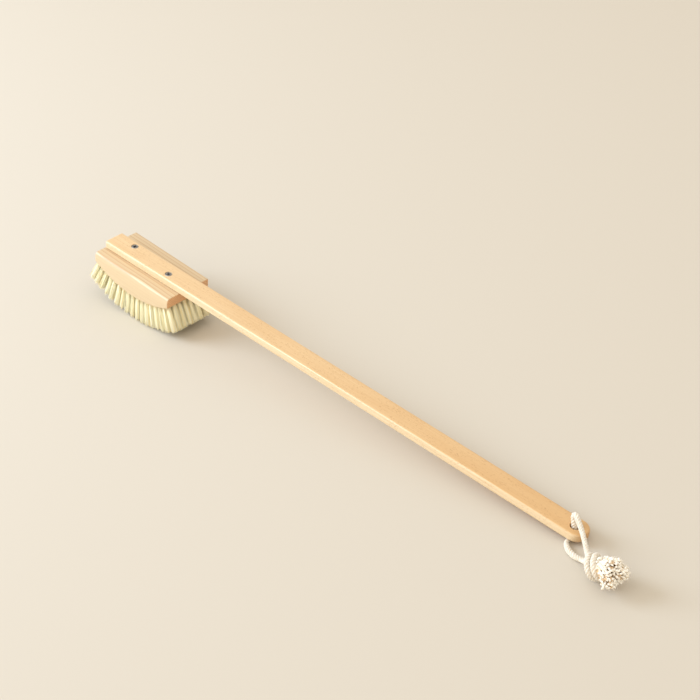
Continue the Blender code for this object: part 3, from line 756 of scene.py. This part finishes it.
def fibre_tree():
    """A row of tufts: every fibre runs from the tuft's root to its spread tip, round a dense core."""
    tree, given = modifier_tree("tuft_row_of_fibres", "Seed")
    seed = given["Seed"]
    index = tree.geometry("InputIndex")

    def dice(salt, low=0.0, high=1.0):
        """A number for each fibre. Each salt gives another one."""
        named = {"Min": low, "Max": high, "ID": index, "Seed": tree.math("ADD", seed, float(salt))}
        return live(tree.add("FunctionNodeRandomValue", named=named).outputs)

    tuft = tree.math("FLOOR", tree.math("DIVIDE", index, float(FIBRES_IN_TUFT)))
    across, splay = tuft_middle(tree, tuft)
    angle = dice(101, 0.0, 2 * math.pi)
    reach = tree.math("POWER", dice(202), FIBRE_CROWDING)
    disc = tree.xyz(
        tree.math("MULTIPLY", reach, tree.math("COSINE", angle)),
        tree.math("MULTIPLY", reach, tree.math("SINE", angle)),
    )
    middle = tree.xyz(0.0, across)
    root = tree.vector("ADD", middle, tree.vector("SCALE", disc, TUFT_RADIUS))
    short = tree.math("MULTIPLY", tree.math("POWER", dice(505), FIBRE_EVENNESS), FIBRE_SHORT)
    lean = tree.xyz(
        dice(303, -TUFT_STRAY, TUFT_STRAY),
        tree.math("ADD", splay, dice(404, -TUFT_STRAY, TUFT_STRAY)),
        tree.math("ADD", -BRISTLE_LENGTH, short),
    )
    lean = tree.vector("ADD", lean, tuft_sway(tree, seed, tuft))
    tip = tree.vector("ADD", tree.vector("ADD", middle, lean), tree.vector("SCALE", disc, TUFT_TIP_RADIUS))
    run = tree.vector("SUBTRACT", tip, root)

    spin = tree.add("FunctionNodeAxisAngleToRotation", (0, 0, 1), dice(606, 0.0, 2 * math.pi)).outputs[0]
    named = {"Rotation": spin, "Vector": run}
    turn = tree.add("FunctionNodeAlignRotationToVector", axis="Z", named=named).outputs[0]
    thick = tree.math("MULTIPLY", dice(707, *FIBRE_THICKNESS), FIBRE_RADIUS)
    size = tree.xyz(thick, thick, tree.vector("LENGTH", run))
    points = tree.geometry("Points", Count=TUFTS_IN_ROW * FIBRES_IN_TUFT)
    points = tree.geometry("SetPosition", Geometry=points, Position=root)
    points = tree.store(points, "fibre_shade", dice(808))
    placed = tree.geometry(
        "InstanceOnPoints", Points=points, Instance=one_fibre(tree), Rotation=turn, Scale=size
    )
    both = tree.add("GeometryNodeJoinGeometry").inputs[0]
    tree.join(tuft_cores(tree, seed), both)
    tree.join(placed, both)
    real = tree.add("GeometryNodeRealizeInstances", both.node.outputs[0]).outputs[0]
    return tree.close(real, FIBRE)


def build_tufts():
    group = fibre_tree()
    for row, arc_length in enumerate(row_arcs()):
        name = f"tuft_row_{row + 1:02d}"
        mesh = grown(new_object(name, bpy.data.meshes.new(name)), group, Seed=ROW_SEEDS * (row + 1))
        mesh.transform(HEAD @ face_place(arc_length, FACE_RADIUS - TUFT_HOLE_DEPTH / 2))
        press_on_table(mesh)
        piece(f"{name}_fibres", mesh, [name])


# Screws

def cross_recess(top, degrees):
    """What the recess for the driver takes out of a screw's head."""
    arm, blade, deep = (SCREW_HEAD_RADIUS * share for share in SCREW_RECESS)
    foot, mouth = (blade * share for share in SCREW_RECESS_CONE)
    middle = Matrix.Translation((0, 0, top))

    def build(shape):
        for quarter in (0, 1):
            turn = Matrix.Rotation(math.radians(degrees) + quarter * math.pi / 2, 4, "Z")
            place = turn @ middle @ Matrix.Diagonal((2 * arm, 2 * blade, 2 * deep, 1))
            bmesh.ops.create_cube(shape, size=1.0, matrix=place)
        bmesh.ops.create_cone(
            shape, cap_ends=True, segments=SCREW_RECESS_STEPS, radius1=foot, radius2=mouth,
            depth=2 * deep, matrix=middle,
        )

    return built("recess", build)


def build_screws():
    top = HANDLE_BACK - SCREW_SUNK
    dish = SCREW_HEAD_RADIUS * SCREW_DISH
    profile = (
        (0, top), (SCREW_HEAD_RADIUS - dish, top), (SCREW_HEAD_RADIUS, top - dish),
        (SCREW_SHANK_RADIUS, top - SCREW_HEAD_RADIUS + SCREW_SHANK_RADIUS - dish),
        (SCREW_SHANK_RADIUS, top - SCREW_LENGTH * SCREW_STRAIGHT),
        (dish, top - SCREW_LENGTH), (0, top - SCREW_LENGTH),
    )
    for name, (along, across) in SCREW_PLACES.items():
        carrier = turned(name, [((0, 0), profile)], SCREW_STEPS)
        mesh = cut(carrier, cross_recess(top, SCREW_TURNS[name]), crossing=True)
        mesh.transform(BRUSH @ Matrix.Translation((along, across, 0)))
        piece(f"{name}_steel", shade(mesh), [name], STEEL)


# Cord

def smooth_route(points):
    """Points on a smooth curve through the given ones, which may carry a radius."""
    knots = [Vector(point) for point in points]
    knots = [2 * knots[0] - knots[1], *knots, 2 * knots[-1] - knots[-2]]
    for before, here, there, after in zip(knots, knots[1:], knots[2:], knots[3:]):
        for step in range(ROUTE_STEPS):
            t = step / ROUTE_STEPS
            straight = here + (there - here) * t
            bend = (here * 2 - before - there) * (1 - t) + (there * 2 - here - after) * t
            yield straight + bend * (t * (1 - t) / 2)
    yield knots[-2]


def knot_frame():
    """The knot's axis, the side away from the camera and the side towards the table."""
    axis = Vector(KNOT_AXIS).normalized()
    view = Vector(CAMERA_FROM_HEAD) - Vector(AIM_FROM_HEAD)
    far = -(view - axis * view.dot(axis)).normalized()
    down = axis.cross(far)
    if down.z > 0:
        down.negate()
    return axis, far, down


def knot_route(strand):
    """One strand's way through the knot: in along the core, out, once round both strands and back through.

    The strands are 0 and 1. Each turn is a radius, an angle in degrees from the side away from the camera
    by way of the table, and a place along the axis. The shares in between were set one by one."""
    axis, far, down = knot_frame()
    step = KNOT_SPACING
    first = step * (0.5 + strand)
    last = first - 2 * step
    core, wrap = KNOT_CORE_RADIUS, KNOT_WRAP_RADIUS
    near, wide = (core * 2 + wrap) / 3, (core + wrap * 2) / 3 + KNOT_EASE[0]
    enter = KNOT_ENTRY[strand][1]
    turned = enter + KNOT_TWIST
    begin, end, leave = KNOT_BEGIN, KNOT_BEGIN + 360, KNOT_LEAVE[strand]
    turns = [
        KNOT_ENTRY[strand],
        (core, enter + KNOT_TWIST * 0.3, -step * 0.5),
        (core, turned, first - step * 0.8),
        (near, turned + (begin - turned) * 0.15, first + step * 0.02),
        (wide, turned + (begin - turned) * 0.55, first + step * 0.10),
    ]
    for count in range(KNOT_TURN_POINTS):
        share = count / (KNOT_TURN_POINTS - 1)
        turns.append((wrap, begin + (end - begin) * share, first + (last - first) * (0.03 + 0.94 * share)))
    turns += [
        (wide, end + (leave - end) * 0.45, last - step * 0.10),
        (near, end + (leave - end) * 0.85, last - step * 0.02),
        (core, leave, last + step * 0.6),
        (core, leave + KNOT_TWIST * 0.7, step * 0.5),
        (core, leave + KNOT_TWIST, step * 0.9),
        (core + KNOT_EASE[1], leave + KNOT_TWIST, step * 1.3),
    ]
    for radius, degrees, along in turns:
        angle = math.radians(degrees)
        side = far * math.cos(angle) + down * math.sin(angle)
        yield Vector(KNOT_CENTRE) + axis * along + side * radius


def cord_tree():
    """A cord laid of plies that are spun of yarns, along a curve."""
    tree, given = modifier_tree("laid_cord")
    named = {"Curve": given["Geometry"], "Length": CORD_STEP}
    curve = tree.add("GeometryNodeResampleCurve", mode="LENGTH", named=named).outputs[0]
    length = tree.add("GeometryNodeSplineParameter").outputs["Length"]
    twist = tree.math("MULTIPLY", length, 2 * math.pi / CORD_LAY)
    curve = tree.geometry("SetCurveTilt", Curve=curve, Tilt=twist)
    curve = tree.store(curve, "along", length)

    angle = tree.math("MULTIPLY", tree.geometry("InputIndex"), 2 * math.pi / CORD_SIDES)
    lobe = tree.math("SUBTRACT", tree.math("MODULO", angle, 2 * math.pi / CORD_PLIES), math.pi / CORD_PLIES)
    offset = 1.0 - CORD_PLY
    side = tree.math("MULTIPLY", tree.math("SINE", lobe), offset)
    root = tree.math("SQRT", tree.math("SUBTRACT", CORD_PLY * CORD_PLY, tree.math("MULTIPLY", side, side)))
    radius = tree.math("ADD", tree.math("MULTIPLY", tree.math("COSINE", lobe), offset), root)
    circle = tree.geometry("CurvePrimitiveCircle", Resolution=CORD_SIDES, Radius=CORD_DIAMETER / 2)
    lobed = tree.vector("SCALE", tree.geometry("InputPosition"), radius)
    section = tree.geometry("SetPosition", Geometry=circle, Position=lobed)
    section = tree.store(section, "around", angle)
    section = tree.store(section, "ply_depth", radius)
    cord = tree.geometry(
        "CurveToMesh", Curve=curve, Profile_Curve=section, Scale=tree.geometry("InputRadius"), Fill_Caps=True
    )

    def stored(name):
        node = tree.add("GeometryNodeInputNamedAttribute", data_type="FLOAT", named={"Name": name})
        return live(node.outputs, "Attribute")

    spun = tree.math("MULTIPLY", stored("along"), 2 * math.pi / CORD_LAY * CORD_YARN_LAY)
    around = tree.math("MULTIPLY", stored("around"), CORD_YARNS / 2)
    phase = tree.math("SUBTRACT", around, tree.math("MULTIPLY", spun, CORD_YARNS / 4))
    ridge = tree.math("ABSOLUTE", tree.math("SINE", phase))
    depth = tree.math("MULTIPLY", tree.math("SUBTRACT", ridge, 1.0), CORD_YARN_DEPTH)
    raised = tree.vector("SCALE", tree.geometry("InputNormal"), depth)
    cord = tree.geometry("SetPosition", Geometry=cord, Offset=raised)
    # Painted shade in the grooves between the yarns and between the plies.
    between_yarns = tree.math("MULTIPLY", tree.math("SUBTRACT", 1.0, ridge), CORD_SHADES[0])
    between_plies = tree.math("MULTIPLY", tree.math("SUBTRACT", 1.0, stored("ply_depth")), CORD_SHADES[1])
    cord = tree.store(cord, "groove_shade", tree.math("MAXIMUM", between_yarns, between_plies))
    return tree.close(cord, COTTON)


def curve_object(name, lines):
    """A curve of open splines. A point is a place, a radius and, on a yarn, a tilt: how much painted shade
    it gets.
    """
    curve = bpy.data.curves.new(name, "CURVE")
    curve.dimensions = "3D"
    for line in lines:
        spline = curve.splines.new("POLY")
        spline.points.add(len(line) - 1)
        for point, (place, radius, *tilt) in zip(spline.points, line):
            point.co = (*place, 1)
            point.radius = radius
            point.tilt = sum(tilt)
    return new_object(name, curve)


def strand_line(points, radii, strand):
    """A strand's line from the hanging hole through the knot, in the table's frame."""
    route = [(*point, share) for point, share in zip(points, radii)]
    route += [(*point, KNOT_SHARE) for point in knot_route(strand)]
    return [(HOLE_FOOT + Vector(place[:3]), place[3]) for place in smooth_route(route)]


def build_cord():
    group = cord_tree()
    strands = []
    routes = {
        "cord_upper": (UPPER_ROUTE, UPPER_RADII, 0, ["cord_upper", "cord_knot"]),
        "cord_lower": (LOWER_ROUTE, LOWER_RADII, 1, ["cord_lower"]),
    }
    for name, (points, radii, strand, nodes) in routes.items():
        line = strand_line(points, radii, strand)
        mesh = grown(curve_object(name, [line]), group)
        press_on_table(mesh)
        strands.append((piece(f"{name}_strand", mesh, nodes), line))
    return strands


# Frayed ends

def fray_reach(level, rise):
    """How far the bunch reaches in a direction, between the given ones."""
    upward, soft, falloff = FRAY_BLEND
    total = weight = 0
    for there, up, reach in FRAY_REACH:
        share = 1 / ((there - level) ** 2 + upward * (up - rise) ** 2 + soft) ** falloff
        total += reach * share
        weight += share
    return total / weight


def fray_low(level):
    """The bunch's lower side in degrees up, at a number of degrees round."""
    start, low, slope = FRAY_LOW
    brow, steep = FRAY_BROW
    return low + slope * (level - start) + steep * max(0, brow - level)


def fray_lines(dice):
    """The yarns and fine fibres of the bunch."""
    mouth = HOLE_FOOT + Vector(FRAY_MOUTH)
    axis = Vector(KNOT_AXIS).normalized()
    lines = []
    tips = []
    for _ in range(FRAY_TRIES):
        level = dice.uniform(*FRAY_ROUND)
        rise = dice.uniform(fray_low(level), FRAY_TOP)
        across, up = math.radians(level), math.radians(rise)
        aim = Vector((math.cos(across) * math.cos(up), math.sin(across) * math.cos(up), math.sin(up)))
        sunk = dice.random() < FRAY_SUNK
        length = fray_reach(level, rise)
        tip = aim * length
        if any((tip - other).length < FRAY_SPACING for other in tips):
            continue
        tips.append(tip)
        length -= dice.uniform(*(FRAY_SUNK_BY if sunk else FRAY_UNEVEN))
        rail = yarn_rail(dice, mouth, axis, aim, length)
        lines.append(yarn_line(dice, rail, float(sunk)))
        lines += [stray_fibre(dice, rail) for _ in range(FRAY_STRAYS)]
    return lines


def yarn_rail(dice, mouth, axis, aim, length):
    """A yarn's points: out along the knot's axis, then towards its own side, with a slight curl."""
    side = aim.cross(Vector((0, 0, 1))).normalized()
    over = side.cross(aim)
    spread = aim - axis * aim.dot(axis)
    root = mouth - axis * CORD_DIAMETER / 2 + spread * FRAY_MOUTH_RADIUS
    bend = root + axis * length * YARN_STRAIGHT
    tip = mouth + aim * length
    waves = length / dice.uniform(*YARN_WAVES)
    turn = dice.uniform(0, 2 * math.pi)
    rail = []
    for step in range(YARN_STEPS + 1):
        t = 1 - (1 - step / YARN_STEPS) ** YARN_CROWDING
        swing = turn + waves * 2 * math.pi * t
        place = root * (1 - t) ** 2 + bend * 2 * t * (1 - t) + tip * t * t
        place += (side * math.cos(swing) + over * math.sin(swing)) * FRAY_CURL * min(1.0, 2 * t)
        rail.append(place)
    return rail


def yarn_line(dice, rail, fully_shaded):
    """A soft yarn along its rail, which opens towards its cut end and closes round. Its painted shade grows
    towards the root, and is full on a yarn that ends deeper.
    """
    swell, swollen, full = YARN_SWELL
    ripple, pace = YARN_RIPPLE
    least, stop = YARN_BLUNT
    fade, clean = YARN_PAINTED_SHADE
    thick = dice.uniform(*YARN_RADII)
    line = []
    left = 0.0
    last = rail[-1]
    for count, place in enumerate(reversed(rail)):
        left += (place - last).length
        last = place
        opened = swell * max(0.0, 1 - left / swollen) ** full
        wide = thick * (1 + opened + ripple * math.sin(count * pace))
        round_off = math.sqrt(1 - max(stop, 1 - left / wide) ** 2) if left < wide else 1.0
        line.append((place, wide * max(least, round_off), max(fully_shaded, min(1.0, left / fade - clean))))
    return line[::-1]


def stray_fibre(dice, rail):
    """A fine fibre that leaves a yarn near its end."""
    early, late = STRAY_POINTS
    start = dice.randrange(len(rail) - early, len(rail) - late)
    drift = Vector((dice.uniform(-1, 1), dice.uniform(-1, 1), dice.uniform(-1, 1)))
    drift = drift * dice.uniform(*STRAY_DRIFT)
    thick = dice.uniform(*STRAY_RADII)
    steps = len(rail) - start
    return [(place + drift * (count / steps), thick, 0.0) for count, place in enumerate(rail[start:])]


def yarn_tree():
    """Plain round yarns along curves, with painted shade as far as each point's tilt says."""
    tree, given = modifier_tree("loose_yarns")
    painted_shade = tree.math("MULTIPLY", tree.geometry("InputCurveTilt"), YARN_PAINTED_SHADE_STRENGTH)
    curve = tree.store(given["Geometry"], "groove_shade", painted_shade)
    section = tree.geometry("CurvePrimitiveCircle", Resolution=YARN_SIDES, Radius=1.0)
    yarn = tree.geometry(
        "CurveToMesh", Curve=curve, Profile_Curve=section, Scale=tree.geometry("InputRadius"), Fill_Caps=True
    )
    return tree.close(yarn, LOOSE_COTTON_PAINTED_LIGHTER)


def build_frayed_ends():
    carrier = curve_object("frayed_ends", fray_lines(random.Random(FRAY_SEED)))
    return piece("cord_frayed_yarns", grown(carrier, yarn_tree()), ["cord_frayed_ends"])


# Stage

def aimed(name, data, place, aim):
    """A lamp or camera at a place, turned towards another one."""
    made = new_object(name, data)
    made.location = place
    made.rotation_mode = "QUATERNION"
    made.rotation_quaternion = (aim - place).to_track_quat("-Z", "Y")
    return made


def build_camera():
    foot = Vector((BRUSH.translation.x, BRUSH.translation.y, 0))
    lens = bpy.data.cameras.new("camera")
    lens.lens = LENS
    lens.clip_end = CAMERA_SIGHT
    made = aimed("camera", lens, foot + Vector(CAMERA_FROM_HEAD), foot + Vector(AIM_FROM_HEAD))
    bpy.context.scene.camera = made


def build_stage():
    def plane(shape):
        bmesh.ops.create_grid(shape, x_segments=1, y_segments=1, size=FLOOR_SIZE)

    floor = built("table", plane)
    paper = Finish("pale_table", 0.8)
    paper.set(Base_Color=FLOOR_COLOUR)
    floor.data.materials.append(paper.material)
    floor.location = (0, 0, -FLOOR_SUNK)
    bpy.context.scene.world = soft_room()
    light = bpy.data.lights.new("window", "AREA")
    light.shape = "SQUARE"
    light.size = LAMP_SIZE
    light.energy = LAMP_WATTS
    light.color = LAMP_COLOUR
    aimed("window", light, Vector(LAMP_PLACE), Vector())


def soft_room():
    """A warm room, brighter on the camera's side than on the others."""
    world = bpy.data.worlds.new("soft_room")
    world.use_nodes = True
    room = Tree(world.node_tree)
    ray = room.add("ShaderNodeTexCoord").outputs["Generated"]
    strength = ROOM_STRENGTH
    for aim, share in ROOM_GLOWS:
        towards = room.math("MAXIMUM", room.vector("DOT_PRODUCT", ray, aim), 0.0)
        glow = room.math("MULTIPLY", room.math("POWER", towards, 2.0), share)
        strength = room.math("ADD", strength, glow)
    shine = world.node_tree.nodes["Background"]
    shine.inputs["Color"].default_value = ROOM_COLOUR
    room.join(strength, shine.inputs["Strength"])
    return world


build_camera()
build_stage()
build_handle()
build_head()
build_tufts()
build_screws()
cord_strands = build_cord()
build_frayed_ends()
bpy.context.scene.view_settings.view_transform = "Standard"
